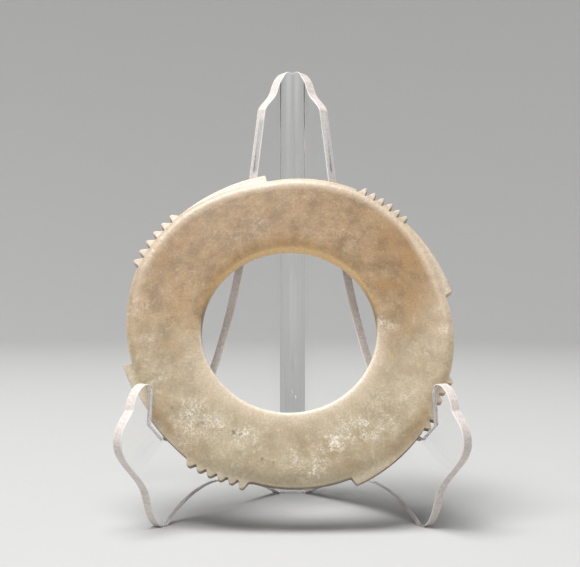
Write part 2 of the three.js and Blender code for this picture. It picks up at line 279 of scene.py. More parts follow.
class ClearEaselSettings(bpy.types.PropertyGroup):
    """Sizes and colours of the clear easel."""

    sheet: length("Sheet", 3.2 * MM, "Thickness of the sheet")
    wing_angle: FloatProperty(
        name="Wing angle",
        description="Angle of each wing to the line straight forward",
        default=math.radians(36),
        subtype="ANGLE",
        unit="ROTATION",
    )
    fold_radius: length("Fold radius", 3.5 * MM, "Inner radius of the fold")
    height: length("Height", 136.7 * MM, "Height of the crown")
    arris: length("Arris", 0.14 * MM, "Width of the small edge left by the saw")
    saw_depth: length("Saw depth", 0.035 * MM, "Depth of the saw marks in the cut edges")
    clear: colour("Clear", (0.975, 0.98, 0.98), "Tint of the polished faces")
    frost: colour("Frost", (0.76, 0.66, 0.61), "Frosted cut edges")
    frost_light: colour("Light frost", (0.96, 0.92, 0.88), "Lighter flecks in the cut edges")


class StageSettings(bpy.types.PropertyGroup):
    """Floor, lights and camera."""

    floor: colour("Floor", (0.47, 0.47, 0.465), "Colour of the floor")
    floor_radius: length("Floor radius", 0.9, "Distance at which the floor starts to rise")
    sweep_radius: length("Sweep radius", 0.8, "Radius of the curve from the floor to the wall")
    wall_height: length("Wall height", 1.5, "Height of the wall round the floor")
    eye_height: length("Eye height", 67.67 * MM, "Height of the camera")
    eye_distance: length("Eye distance", 297.06 * MM, "Distance from the origin to the camera")
    focal_length: FloatProperty(
        name="Focal length",
        description="Camera lens in mm on a 36 mm wide sensor",
        default=62.07,
    )


def add(tree, kind, inputs=None, **settings):
    """Adds a shader node. Its inputs are given as values or as other nodes' outputs."""
    made = tree.nodes.new("ShaderNode" + kind)
    for name, value in settings.items():
        setattr(made, name, value)
    for key, value in (inputs or {}).items():
        if isinstance(value, bpy.types.NodeSocket):
            tree.links.new(value, made.inputs[key])
        else:
            made.inputs[key].default_value = value
    return made


def blend_colour(tree, factor, first, second):
    """Mixes two colours, given as sockets or as plain RGB."""
    made = tree.nodes.new("ShaderNodeMix")
    made.data_type = "RGBA"
    for index, value in ((0, factor), (6, first), (7, second)):
        if isinstance(value, bpy.types.NodeSocket):
            tree.links.new(value, made.inputs[index])
        elif index:
            made.inputs[index].default_value = (*value, 1)
        else:
            made.inputs[index].default_value = value
    return made.outputs[2]


def calculate(tree, operation, first, second=0.0):
    """One step of arithmetic on two values."""
    return add(tree, "Math", {0: first, 1: second}, operation=operation).outputs[0]


def spread(tree, value, low, high, to_low=0.0, to_high=1.0):
    """Maps a value smoothly from one range to another."""
    inputs = {0: value, 1: low, 2: high, 3: to_low, 4: to_high}
    return add(tree, "MapRange", inputs, interpolation_type="SMOOTHSTEP").outputs[0]


def grain(tree, vector, scale, detail=4.0, roughness=0.55):
    """Plain 3D noise from 0 to 1."""
    inputs = {"Vector": vector, "Scale": scale, "Detail": detail, "Roughness": roughness}
    return add(tree, "TexNoise", inputs).outputs["Fac"]


def named(tree, attribute):
    """A value that a mesh keeps for each vertex."""
    return add(tree, "Attribute", attribute_name=attribute).outputs["Fac"]


def scaled(tree, value, share):
    """A value times a share."""
    return calculate(tree, "MULTIPLY", value, share)


def new_material(name):
    """An empty material and its shader."""
    material = bpy.data.materials.new(name)
    material.use_nodes = True
    tree = material.node_tree
    return material, tree, tree.nodes["Principled BSDF"]


def ridges(tree, value, width):
    """Thin lines, 1 along the middle level of a noise and 0 beyond `width` from it."""
    away = calculate(tree, "ABSOLUTE", calculate(tree, "SUBTRACT", value, 0.5))
    return spread(tree, away, width, 0.0)


def jade_body(tree, look, place, cloudy):
    """The stone's own colour: pale below, browner above, mottled in clouds and curds."""
    broad = grain(tree, place, BROAD_CLOUDS, 3, 0.6)
    tone = scaled(tree, calculate(tree, "ADD", broad, cloudy), 0.5)
    tone = spread(tree, tone, 0.36, 0.62)
    height = add(tree, "SeparateXYZ", {0: place}).outputs[2]
    uneven = scaled(tree, calculate(tree, "SUBTRACT", broad, 0.5), 40 * MM)
    height = calculate(tree, "ADD", height, uneven)
    curds = spread(tree, grain(tree, place, CURDS, 4, 0.72), 0.5, 0.68, 0.0, 0.3)
    pale = blend_colour(tree, tone, tuple(look.straw), tuple(look.cream))
    pale = blend_colour(tree, curds, pale, tuple(look.chalk))
    dark = blend_colour(tree, tone, tuple(look.brown), tuple(look.buff))
    dark = blend_colour(tree, scaled(tree, curds, 0.6), dark, tuple(look.rubbed_and_lit))
    body = blend_colour(tree, spread(tree, height, PALE_BELOW * MM, BROWN_ABOVE * MM), pale, dark)

    winding = ridges(tree, grain(tree, place, WINDING_MARKS, 2, 0.5), 0.035)
    high = spread(tree, height, MARKS_FROM * MM, MARKS_FULL * MM)
    return blend_colour(tree, scaled(tree, scaled(tree, winding, high), 0.5), body, tuple(look.ash))


def chalk_cover(tree, place, crumbs):
    """Whitened patches, clotted and broken up into dots and winding threads."""
    clotted = spread(tree, grain(tree, place, CLOTS, 4, 0.72), 0.4, 0.58, 0.2, 1.0)
    dots = add(tree, "TexVoronoi", {"Vector": place, "Scale": DOTS}).outputs["Distance"]
    worms = ridges(tree, grain(tree, place, WORMS, 2, 0.6), 0.07)
    flecks = calculate(tree, "MAXIMUM", spread(tree, dots, 0.42, 0.12), worms)
    flecks = scaled(tree, flecks, spread(tree, crumbs, 0.34, 0.54))
    crust = scaled(tree, clotted, spread(tree, flecks, 0.0, 0.8, 0.3, 1.5))
    whitened = scaled(tree, spread(tree, named(tree, "chalk"), 0.05, 0.85), crust)
    return calculate(tree, "MINIMUM", whitened, 1.0)


def speck_cover(tree, place, crumbs):
    """Small dark inclusions with ragged edges."""
    ragged = scaled(tree, crumbs, SPECK_RAGGED * MM)
    cover = 0.0
    for x, z, radius in SPECKS:
        away = add(tree, "VectorMath", {0: place, 1: (x * MM, 0, z * MM)}, operation="DISTANCE")
        edge = calculate(tree, "ADD", away.outputs["Value"], ragged)
        spot = spread(tree, edge, (radius + SPECK_HALO) * MM, (radius + SPECK_CORE) * MM)
        cover = calculate(tree, "MAXIMUM", cover, spot)
    return cover


def jade_material(look):
    """Satin-polished stone, mottled cream and buff, with brown stains and whitened patches."""
    material, tree, shader = new_material("mottled_jade")
    place = add(tree, "TexCoord").outputs["Object"]
    cloudy = grain(tree, place, CLOUDS, 2, 0.55)
    fine = grain(tree, place, FINE_GRAIN, 3, 0.65)
    crumbs = grain(tree, place, CRUMBS, 5, 0.75)
    whitened = chalk_cover(tree, place, crumbs)
    uneven = spread(tree, cloudy, 0.25, 0.7, 0.3, 1.15)

    body = jade_body(tree, look, place, cloudy)
    layers = (
        # Brown and orange stains, and a painted glow tint beside the top of the hole.
        (scaled(tree, named(tree, "warm_stain_and_glow"), uneven), look.warm_stain_and_glow),
        (scaled(tree, named(tree, "glow"), 0.92), look.honey),
        # Painted shade on the lower rim.
        (scaled(tree, named(tree, "olive_shade"), 0.85), look.olive_shade),
        (whitened, look.chalk),
        # Wear on the edges, and painted highlights on the bevel, the tips and round the hole's lower
        # half.
        (scaled(tree, named(tree, "worn_and_lit"), 0.9), look.rubbed_and_lit),
        # Painted highlight lines along the hole's lower edge, the rim and the tips, in the chalk colour.
        (named(tree, "lip_highlight"), look.chalk),
        (scaled(tree, speck_cover(tree, place, crumbs), 0.55), look.speck),
    )
    for cover, tint in layers:
        body = blend_colour(tree, cover, body, tuple(tint))
    pepper = spread(tree, fine, 0.28, 0.72, 0.88, 1.12)
    shaded = add(tree, "VectorMath", {0: body, 1: pepper}, operation="MULTIPLY")
    tree.links.new(shaded.outputs[0], shader.inputs["Base Color"])

    rough = spread(tree, cloudy, 0.3, 0.7, 0.36, 0.48)
    rough = calculate(tree, "ADD", rough, scaled(tree, whitened, 0.15))
    tree.links.new(rough, shader.inputs["Roughness"])

    raised = scaled(tree, whitened, scaled(tree, crumbs, 1.5))
    height = calculate(tree, "ADD", fine, raised)
    bump = add(tree, "Bump", {"Strength": 0.3, "Distance": 0.1 * MM, "Height": height})
    tree.links.new(bump.outputs[0], shader.inputs["Normal"])

    shader.inputs["IOR"].default_value = JADE_IOR
    shader.inputs["Subsurface Weight"].default_value = 0.3
    shader.inputs["Subsurface Radius"].default_value = (1.0, 0.62, 0.34)
    shader.inputs["Subsurface Scale"].default_value = 1.2 * MM
    return material


def clear_material(look):
    """Polished faces of the sheet, with a faint haze from handling and slightly wavy."""
    material, tree, shader = new_material("polished_clear_sheet")
    place = add(tree, "TexCoord").outputs["Object"]
    haze = grain(tree, place, HAZE, 4)
    tree.links.new(spread(tree, haze, 0.45, 0.8, 0.015, 0.09), shader.inputs["Roughness"])
    wave = grain(tree, place, WAVES, 1)
    bump = add(tree, "Bump", {"Strength": 0.08, "Distance": 0.4 * MM, "Height": wave})
    tree.links.new(bump.outputs[0], shader.inputs["Normal"])
    tint = blend_colour(tree, haze, tuple(look.clear), (1, 1, 1))
    tree.links.new(tint, shader.inputs["Base Color"])
    shader.inputs["IOR"].default_value = ACRYLIC_IOR
    shader.inputs["Transmission Weight"].default_value = 1.0
    return material


def frost_material(look):
    """Sawn edges of the sheet: pale, frosted, with fine marks across and lighter corners."""
    material, tree, shader = new_material("frosted_cut_edge")
    place = add(tree, "TexCoord").outputs["Object"]
    run = named(tree, "run")
    across = named(tree, "across")
    lines = add(tree, "CombineXYZ", {0: run, 1: scaled(tree, across, 0.12 * MM)})
    marks = grain(tree, lines.outputs[0], SAW_MARKS, 3, 0.6)
    flecks = grain(tree, place, FLECKS, 3, 0.7)

    middle = calculate(tree, "ABSOLUTE", calculate(tree, "SUBTRACT", across, 0.5))
    corner = spread(tree, middle, 0.36, 0.46)
    light = scaled(tree, spread(tree, flecks, 0.42, 0.62), 0.6)
    body = blend_colour(tree, light, tuple(look.frost), tuple(look.frost_light))
    striped = spread(tree, marks, 0.5, 0.66, 0.0, 0.6)
    body = blend_colour(tree, striped, body, tuple(look.frost_light))
    body = blend_colour(tree, scaled(tree, corner, 0.9), body, tuple(look.frost_light))
    polish = scaled(tree, named(tree, "polish"), spread(tree, across, 0.7, 0.5, 0.2, 0.75))
    polish = scaled(tree, polish, spread(tree, corner, 0.0, 1.0, 0.9, 0.2))
    body = blend_colour(tree, polish, body, tuple(look.clear))
    tree.links.new(body, shader.inputs["Base Color"])

    rough = spread(tree, flecks, 0.3, 0.7, 0.38, 0.6)
    clear = calculate(tree, "SUBTRACT", 1.0, scaled(tree, polish, 0.85))
    tree.links.new(scaled(tree, rough, clear), shader.inputs["Roughness"])
    tree.links.new(spread(tree, polish, 0.0, 1.0, 0.3, 1.0), shader.inputs["Transmission Weight"])
    height = scaled(tree, calculate(tree, "ADD", marks, scaled(tree, flecks, 0.5)), clear)
    bump = add(tree, "Bump", {"Strength": 0.5, "Distance": 0.12 * MM, "Height": height})
    tree.links.new(bump.outputs[0], shader.inputs["Normal"])
    shader.inputs["IOR"].default_value = ACRYLIC_IOR
    return material


def floor_material(look):
    """Matt pale paper."""
    material, tree, shader = new_material("pale_floor")
    place = add(tree, "TexCoord").outputs["Object"]
    pale = tuple(look.floor)
    tone = blend_colour(tree, grain(tree, place, PAPER, 3), tuple(c * 0.985 for c in pale), pale)
    tree.links.new(tone, shader.inputs["Base Color"])
    shader.inputs["Roughness"].default_value = 0.85
    shader.inputs["Specular IOR Level"].default_value = 0.2
    return material


def turned(degrees):
    """Unit vector at an angle, in the disc's plane."""
    angle = math.radians(degrees)
    return np.array([math.cos(angle), math.sin(angle)])


def swollen(near, far, share, swell):
    """A radius part of the way along a stretch of rim that swells by `swell` at its middle."""
    return near + (far - near) * share + 4 * swell * share * (1 - share)


def disc_corners():
    """The rim's corners in mm as rows of x, z, spoke x, spoke z, body radius and rounding."""
    rows = []

    def corner(angle, radius, spoke, body, rounding):
        rows.append([*(turned(angle) * radius), *turned(spoke), body, rounding])

    for index, (angle, radius, step, cut) in enumerate(HORNS):
        first, pitch, start, end, rise, root, lean, width = TEETH[index]
        swell_before, swell_after = SWELLS[index]
        next_angle, next_radius, next_step = HORNS[(index + 1) % len(HORNS)][:3]
        span = (angle - next_angle) % 360
        foot = radius - step
        foot_angle = angle - cut
        base = max(angle, foot_angle)
        teeth_start = angle - first - pitch / 2
        teeth_end = teeth_start + TEETH_PER_GROUP * pitch
        corner(angle, radius, base + TIP_LEAD, foot, HORN_ROUNDING)
        corner(foot_angle, foot, base + FOOT_LEAD, foot, FOOT_ROUNDING)

        def tooth_corner(along, lift, rounding):
            share = (along - teeth_start) / (teeth_end - teeth_start)
            body = start + (end - start) * share
            corner(angle - along, body + lift, angle - along, body, rounding)

        for along in np.arange(RIM_STEP * 2, teeth_start - TEETH_BEFORE, RIM_STEP):
            body = swollen(foot, start, along / teeth_start, swell_before)
            corner(angle - along, body, angle - along, body, 0.0)
        for tooth in range(TEETH_PER_GROUP):
            tip = teeth_start + (tooth + 0.5) * pitch
            roots = tip - lean * pitch
            lift = rise if tooth else rise + FIRST_TOOTH_RISE[index]
            tooth_corner(roots - ROOT_WIDTH * pitch / 2, root, ROOT_ROUNDING)
            tooth_corner(tip - width * pitch / 2, lift, TIP_ROUNDING)
            tooth_corner(tip + width * pitch / 2, lift, TIP_ROUNDING)
            tooth_corner(roots + ROOT_WIDTH * pitch / 2, root, ROOT_ROUNDING)
        for along in np.arange(teeth_end + TEETH_AFTER, span - HORN_ROOM, RIM_STEP):
            share = (along - teeth_end) / (span - teeth_end)
            rim = swollen(end, next_radius, share, swell_after)
            body = swollen(end, next_radius - next_step, share, swell_after)
            corner(angle - along, rim, angle - along, body, 0.0)
    return np.array(rows)


def rounded_path(corners):
    """Rounds the marked corners of a closed path and fills its long edges."""
    path = []
    count = len(corners)
    for i in range(count):
        last, here, following = corners[i - 1], corners[i], corners[(i + 1) % count]
        reach = here[-1]
        if reach == 0:
            path.append(here)
            continue
        before = min(reach / np.linalg.norm((last - here)[:2]), ROUNDING_SHARE)
        after = min(reach / np.linalg.norm((following - here)[:2]), ROUNDING_SHARE)
        start = here + (last - here) * before
        end = here + (following - here) * after
        for t in np.linspace(0, 1, ROUNDING_STEPS):
            path.append(start * (1 - t) ** 2 + here * 2 * t * (1 - t) + end * t ** 2)
    filled = []
    for i, here in enumerate(path):
        following = path[(i + 1) % len(path)]
        parts = max(1, math.ceil(np.linalg.norm((following - here)[:2]) / POINT_SPACING))
        for part in range(parts):
            filled.append(here + (following - here) * part / parts)
    return np.array(filled)


def inward(points):
    """Unit vectors that point into a clockwise closed path."""
    step = np.roll(points, -1, 0) - np.roll(points, 1, 0)
    step /= np.linalg.norm(step, axis=1)[:, None]
    return np.stack([step[:, 1], -step[:, 0]], 1)


def disc_rings(sizes):
    """Rings of points from the hole's wall over the front, the rim and the back, in mm.

    Also gives the radius of the rim behind each point when horns and teeth are left out.
    """
    path = rounded_path(disc_corners())
    rim, body = path[:, :2], path[:, 4]
    spoke = path[:, 2:4] / np.linalg.norm(path[:, 2:4], axis=1)[:, None]
    into = inward(rim)
    soft = eased(-spoke[:, 1], LOWER_BEVEL)
    front_bevel = sizes.front_bevel / MM * (1 + LOWER_SPREAD * soft)
    front_power = BEVEL_POWER + (LOWER_POWER - BEVEL_POWER) * soft
    thick = sizes.thickness / MM
    hole = sizes.hole_radius / MM
    middle = np.array([-sizes.hole_shift, -sizes.hole_drop]) / MM
    edge = sizes.edge / MM
    rings = []

    def ring(places, depth):
        depth = np.broadcast_to(depth, len(places))
        rings.append(np.stack([places[:, 0], depth, places[:, 1]], 1))

    def hole_circle(out):
        return middle + spoke * (hole + out)

    def fall(places, width, drop, power):
        past = (np.linalg.norm(places, axis=1) - (body - width)) / width
        curve = np.clip(past, 0, 1) ** power + TOOTH_FALL * np.clip(past - 1, 0, None)
        return drop * curve

    def side(width, drop, power, rings_over_bevel, depth_of):
        """Rings from the flat face to the rim's wall. depth_of turns a fall into a depth."""
        start = spoke * (body - width)[:, None]
        end = rim + into * edge
        for part in range(1, rings_over_bevel + 1):
            places = start + (end - start) * part / rings_over_bevel
            ring(places, depth_of(fall(places, width, drop, power)))
        reached = fall(end, width, drop, power)
        for part in range(1, EDGE_RINGS + 1):
            angle = math.pi / 2 * part / EDGE_RINGS
            places = rim + into * edge * (1 - math.sin(angle))
            ring(places, depth_of(reached + edge * (1 - math.cos(angle))))
        return reached + edge

    for out, depth in HOLE_LIP:
        ring(hole_circle(out), depth)
    flat_start = hole_circle(HOLE_LIP[-1][0])
    flat_end = spoke * (body - front_bevel)[:, None]
    for part in range(1, FACE_RINGS + 1):
        ring(flat_start + (flat_end - flat_start) * part / FACE_RINGS, 0)
    front = side(front_bevel, sizes.front_fall / MM, front_power, BEVEL_RINGS, lambda d: d)

    at = len(rings)
    back_bevel = sizes.back_bevel / MM
    back_fall = sizes.back_fall / MM
    back = side(back_bevel, back_fall, BEVEL_POWER, BEVEL_RINGS // 2, lambda d: thick - d)
    back_rings = rings[at:][::-1]
    del rings[at:]
    for part in range(1, WALL_RINGS):
        share = part / WALL_RINGS
        ring(rim, front + (thick - back - front) * share)
    rings.extend(back_rings)

    flat_start = spoke * (body - back_bevel)[:, None]
    hole_edge = edge * BACK_HOLE_EDGE
    flat_end = hole_circle(hole_edge)
    for part in range(BACK_RINGS + 1):
        ring(flat_start + (flat_end - flat_start) * part / BACK_RINGS, thick)
    for part in range(1, EDGE_RINGS + 1):
        angle = math.pi / 2 * part / EDGE_RINGS
        ring(hole_circle(hole_edge * (1 - math.sin(angle))), thick - hole_edge * (1 - math.cos(angle)))
    wall_top = thick - hole_edge
    for part in range(1, WALL_RINGS):
        ring(hole_circle(0), wall_top + (HOLE_LIP[0][1] - wall_top) * part / WALL_RINGS)
    return rings, np.tile(body, len(rings))


def band(near, far, count):
    """Faces that join two closed rings of `count` points, given by their first points."""
    return [(near + i, near + (i + 1) % count, far + (i + 1) % count, far + i) for i in range(count)]


def ring_mesh(name, rings):
    """Joins closed rings of equal length into a closed smooth mesh, given in mm."""
    count = len(rings[0])
    total = len(rings)
    faces = []
    for r in range(total):
        faces.extend(band(r * count, (r + 1) % total * count, count))
    mesh = bpy.data.meshes.new(name)
    mesh.from_pydata((np.concatenate(rings) * MM).tolist(), [], faces)
    mesh.shade_smooth()
    mesh.update()
    return mesh


def read_points(mesh):
    """Vertices and their normals as arrays."""
    places = np.zeros(len(mesh.vertices) * 3, np.float32)
    normals = np.zeros(len(mesh.vertices) * 3, np.float32)
    mesh.vertices.foreach_get("co", places)
    mesh.vertex_normals.foreach_get("vector", normals)
    return places.reshape(-1, 3), normals.reshape(-1, 3)


def write_value(mesh, name, values):
    """Keeps one value for each vertex, for the materials to read."""
    attribute = mesh.attributes.new(name, "FLOAT", "POINT")
    attribute.data.foreach_set("value", np.asarray(values, np.float32))


def field(places, scale, seed):
    """Noise from 0 to 1 at each place."""
    shift = Vector((seed * 3.1, seed * 7.7, seed * 1.3))
    return np.array([noise.noise(Vector(p) * scale + shift) for p in places.tolist()]) * 0.5 + 0.5


def ramp(value, stretch):
    """0 at the start of a stretch, 1 at its end, even in between."""
    start, full = stretch
    return np.clip((value - start) / (full - start), 0, 1)


def eased(value, stretch):
    """The same, but slow to start and to end."""
    share = ramp(value, stretch)
    return share * share * (3 - 2 * share)


def fading(value, reach):
    """1 at 0, and fading away on both sides over a reach."""
    return np.exp(-((value / reach) ** 2))


def stain_cover(across, stains, swirl):
    """How strongly a list of round stains covers each place of the face."""
    cover = np.zeros(len(across))
    for x, z, radius, strength in stains:
        away = np.hypot(across[:, 0] + swirl[:, 0] - x, across[:, 1] + swirl[:, 1] - z) / radius
        cover = np.maximum(cover, strength * fading(away, 1.0))
    return cover


def chip_places(count, radius, seed):
    """Places round a circle where an edge is nibbled, spread by a fixed seed, in mm."""
    spots = np.random.default_rng(seed)
    angles = spots.uniform(0, 2 * math.pi, count)
    return np.stack([np.cos(angles), np.sin(angles)], 1) * radius, spots.uniform(0.3, 1.0, count)


def work_surface(mesh, sizes):
    """Hand-worked waviness and nibbled edges, both only ever cut into the stone."""
    places, normals = read_points(mesh)
    wave = field(places, 120, 1) * 0.75 + field(places, 420, 2) * 0.25
    cut = sizes.tooling * wave
    flat = places[:, (0, 2)]
    middle = np.array([-sizes.hole_shift, -sizes.hole_drop])
    hole_spots, hole_sizes = chip_places(HOLE_NIBBLES, sizes.hole_radius, NIBBLE_SEED)
    near_front = ramp(places[:, 1] / MM, (NIBBLE_BACK, 0))
    for spot, size in zip(hole_spots + middle, hole_sizes):
        away = np.hypot(*(flat - spot).T) / (NIBBLE_REACH * MM * size)
        nibble = np.clip(1 - away ** 2, 0, 1) ** 2
        cut += sizes.chips * NIBBLE_SHARE * size * nibble * near_front
    at_rim = ramp(np.hypot(*flat.T) / MM, RIM_NIBBLES)
    rough = np.clip(field(places, 900, 3) - RIM_NOISE_ABOVE, 0, 1)
    cut += sizes.chips * at_rim * rough * RIM_NIBBLE_GAIN
    mesh.vertices.foreach_set("co", (places - normals * cut[:, None]).astype(np.float32).ravel())
    mesh.update()


def rubbed_and_highlight_lines(across, depth, proud, inside, lower):
    """The thin pale lines: a painted highlight along the hole's lower edge, where it faces up, and lines
    along the rim's edge and the tips that are partly wear and partly painted highlight, dimmer over the
    lower half.
    """
    hole_highlight = np.clip(lower * 2, 0, 1) * fading(inside, LINE_REACH)
    at_rim = np.hypot(*across.T) > RIM_FROM
    rim_line = 0.5 * fading(depth - RIM_LINE_DEPTH, RIM_LINE_REACH) * at_rim
    tips = 0.25 * eased(proud, WHITE_TIPS)
    return np.maximum(hole_highlight, np.maximum(rim_line, tips) * (1 - lower * 0.6))


def shaded_rim(across, depth):
    """Painted shade, dull and greenish, on the rim's lower wall and along the very bottom of the face.
    """
    radius = np.hypot(*across.T)
    wall = ramp(radius, WALL_RADII) * ramp(depth, WALL_DEPTHS)
    bottom = 0.6 * eased(radius, LOW_RADII) * fading(across[:, 0] - LOW_MIDDLE, LOW_REACH)
    return np.maximum(wall, bottom) * ramp(across[:, 1], SHADED_HEIGHTS)


def rubbed_edges(x, z, depth, proud, upper, lower):
    """Where the bevel, the horns and the teeth are paler: partly wear and partly a painted highlight,
    stronger high up and weaker on the left and on the lower tips.
    """
    side = 0.35 + 0.65 * eased(x, BEVEL_LEFT)
    high = np.maximum(0.15, ramp(z, BEVEL_HEIGHTS)) * np.maximum(side, eased(z, BEVEL_HIGH))
    high *= 1 - 0.3 * upper * eased(x, UPPER_LEFT)
    bevel = eased(proud, BEVEL_BAND) * high * ramp(depth, BEVEL_DEPTHS)
    less_lit = 0.7 * lower * eased(x, LESS_LIT_LEFT) * eased(x, LESS_LIT_RIGHT)
    return np.maximum(bevel, 0.6 * eased(proud, TIPS) * (1 - less_lit))


def mark_disc(mesh, sizes, body):
    """Writes where the stone is stained, whitened and shows wear, and where painted glow, painted
    highlights and painted shade lie on it.
    """
    places = read_points(mesh)[0]
    across, depth = places[:, (0, 2)] / MM, places[:, 1] / MM
    x, z = across.T
    swirl = np.stack([field(places, 190, 11) - 0.5, field(places, 190, 12) - 0.5], 1) * 7
    swirl += np.stack([field(places, 600, 13) - 0.5, field(places, 600, 14) - 0.5], 1) * 2
    from_middle = across + np.array([sizes.hole_shift, sizes.hole_drop]) / MM
    inside = np.clip(np.hypot(*from_middle.T) - sizes.hole_radius / MM, 0, None)
    proud = np.hypot(x, z) - body
    upper, lower = ramp(z, UPPER_HALF), ramp(z, LOWER_HALF)

    # Painted glow of light shining through the stone: on the hole's upper wall, and as an orange tint on
    # the face beside it.
    write_value(mesh, "glow", upper * np.exp(-inside / GLOW_REACH) * np.clip(depth / GLOW_DEPTH, 0.2, 1))
    painted_glow_tint = 0.6 * upper * np.exp(-inside / HONEY_REACH)
    write_value(mesh, "warm_stain_and_glow", np.maximum(stain_cover(across, WARM_STAINS, swirl), painted_glow_tint))
    write_value(mesh, "chalk", stain_cover(across, CHALK_STAINS, swirl * 0.6))
    # Painted highlight lines, partly wear, along the hole's lower edge, the rim and the tips.
    write_value(mesh, "lip_highlight", rubbed_and_highlight_lines(across, depth, proud, inside, lower))
    # Painted shade along the lower rim and the bottom of the face.
    write_value(mesh, "olive_shade", shaded_rim(across, depth))

    # Paler bevel, horns and teeth: partly wear, partly painted highlight.
    worn_and_lit = rubbed_edges(x, z, depth, proud, upper, lower)
    worn_and_lit *= np.clip(0.7 + 0.45 * field(places, 500, 15), 0, 1)
    # A painted highlight band round the hole's lower half, where its edge faces up.
    worn_and_lit = np.maximum(worn_and_lit, 0.8 * lower * fading(inside, BAND_REACH))
    for at_x, at_z, reach_x, reach_z, strength in PALE_FLANKS:
        away = np.hypot((x - at_x) / reach_x, (z - at_z) / reach_z)
        worn_and_lit = np.maximum(worn_and_lit, strength * fading(away, 1.0))
    write_value(mesh, "worn_and_lit", worn_and_lit)


def wing_path():
    """One wing's outline from the top of the fold to its foot, in mm."""
    easel = bpy.context.scene.clear_easel
    half = fold_half(easel)
    here = np.array([half, easel.height / MM - CROWN_FALL])
    path = []
    stretches = [*WING, ((half, 0.0), None, None)]
    for end, leave, arrive in stretches:
        end = np.array(end)
        chord = np.linalg.norm(end - here)
        parts = max(2, math.ceil(chord * ARC_OVER_CHORD / CURVE_SPACING))
        for part in range(1, parts + 1):
            t = part / parts
            if leave is None:
                path.append(here + (end - here) * t)
                continue
            near = here + turned(leave[0]) * leave[1] * chord
            far = end + turned(arrive[0]) * arrive[1] * chord
            u = 1 - t
            path.append(u ** 3 * here + 3 * u * u * t * near + 3 * u * t * t * far + t ** 3 * end)
        here = end
    return np.array(path[:-1])


def fold_half(easel):
    """Half the fold's length along the middle of the sheet, in mm."""
    return (easel.fold_radius + easel.sheet / 2) * (math.pi / 2 - easel.wing_angle) / MM


def crown_height(out, half, height):
    """Height of the two-lobed crown across the fold, in mm."""
    if out < CROWN_PEAK_OUT:
        return height - CROWN_DIP * (1 - out / CROWN_PEAK_OUT) ** 2
    return height - CROWN_FALL * ((out - CROWN_PEAK_OUT) / (half - CROWN_PEAK_OUT)) ** 2


def fold_sheet(flat, depth, easel):
    """Takes places on the flat sheet, in mm, to the folded one."""
    radius = easel.fold_radius / MM
    half = fold_half(easel)
    sine, cosine = math.sin(easel.wing_angle), math.cos(easel.wing_angle)
    side = np.where(flat[:, 0] < 0, -1, 1)
    out = np.abs(flat[:, 0])
    turn = np.clip(out / half, 0, 1) * (math.pi / 2 - easel.wing_angle)
    bent_x = (radius + depth) * np.sin(turn)
    bent_y = (radius + depth) * np.cos(turn) - radius / sine
    along = radius * cosine / sine + out - half
    flat_x = along * sine + depth * cosine
    flat_y = depth * sine - along * cosine
    bent = out <= half
    x = side * np.where(bent, bent_x, flat_x)
    return np.stack([x, np.where(bent, bent_y, flat_y), flat[:, 1]], 1)


def edge_polish(outline):
    """How clear the cut edge is at each point of the outline: in part of the crown and the slot."""
    out, height = np.abs(outline[:, 0]), outline[:, 1]
    polish = ramp(height, (POLISHED_FROM, POLISHED_FROM + POLISH_FADE))
    polish *= ramp(height, (POLISHED_TO, POLISHED_TO - POLISH_FADE))
    in_slot = (out > SLOT_FROM) & (out < SLOT_TO) & (height > SLOT_LOW) & (height < SLOT_HIGH)
    return np.maximum(polish, SLOT_POLISH * in_slot)


def easel_mesh(easel):
    """The bent sheet, with smooth faces and sawn, slightly broken edges."""
    half = fold_half(easel)
    sheet = easel.sheet / MM
    arris = easel.arris / MM
    side = wing_path()
    columns = np.linspace(-half, half, FOLD_STEPS * 2 + 1)
    top = np.array([[x, crown_height(abs(x), half, easel.height / MM)] for x in columns])
    bottom = np.array([[-x, 0.0] for x in columns])
    mirrored = (side * [-1, 1])[::-1]
    outline = np.concatenate([top, side, bottom, mirrored])
    count = len(outline)
    last = len(columns) - 1
    bottom_start = len(columns) + len(side)

    steps = np.linalg.norm(np.roll(outline, -1, 0) - outline, axis=1)
    run = np.concatenate([[0], np.cumsum(steps)[:-1]])
    into = inward(outline)
    on_ground = outline[:, 1] < ON_GROUND
    saw = np.array([noise.noise(Vector((r / SAW_PITCH, 3.0, 0.0))) for r in run]) * 0.5 + 0.5
    saw = np.where(on_ground, 0, saw) * easel.saw_depth / MM
    cut = outline + into * saw[:, None]
    inset = outline + into * (saw + arris)[:, None]

    levels = [(inset, 0.0), (cut, arris), (cut, sheet / 2), (cut, sheet - arris), (inset, sheet)]
    places = np.concatenate([fold_sheet(flat, depth, easel) for flat, depth in levels])
    faces, kinds = [], []

    def face(corners, kind):
        faces.append(corners)
        kinds.append(kind)

    back = (len(levels) - 1) * count
    for wing in (list(range(last, bottom_start + 1)), [*range(bottom_start + last, count), 0]):
        face(wing[::-1], 0)
        face([back + i for i in wing], 0)
    for i in range(last):
        below = bottom_start + last - i
        strip = [i, below, below - 1, i + 1]
        face(strip, 1)
        face([back + j for j in strip[::-1]], 1)
    for level in range(len(levels) - 1):
        for corners in band(level * count, (level + 1) * count, count):
            face(corners, 2)

    mesh = bpy.data.meshes.new("clear_easel")
    mesh.from_pydata((places * MM).tolist(), [], faces)
    kinds = np.array(kinds)
    mesh.polygons.foreach_set("use_smooth", (kinds == 1).tolist())
    mesh.polygons.foreach_set("material_index", (kinds == 2).astype(np.int32))
    mesh.update()
    write_value(mesh, "run", np.tile(run * MM, len(levels)))
    write_value(mesh, "across", np.repeat([depth / sheet for _, depth in levels], count))
    write_value(mesh, "polish", np.tile(edge_polish(outline), len(levels)))
    return mesh


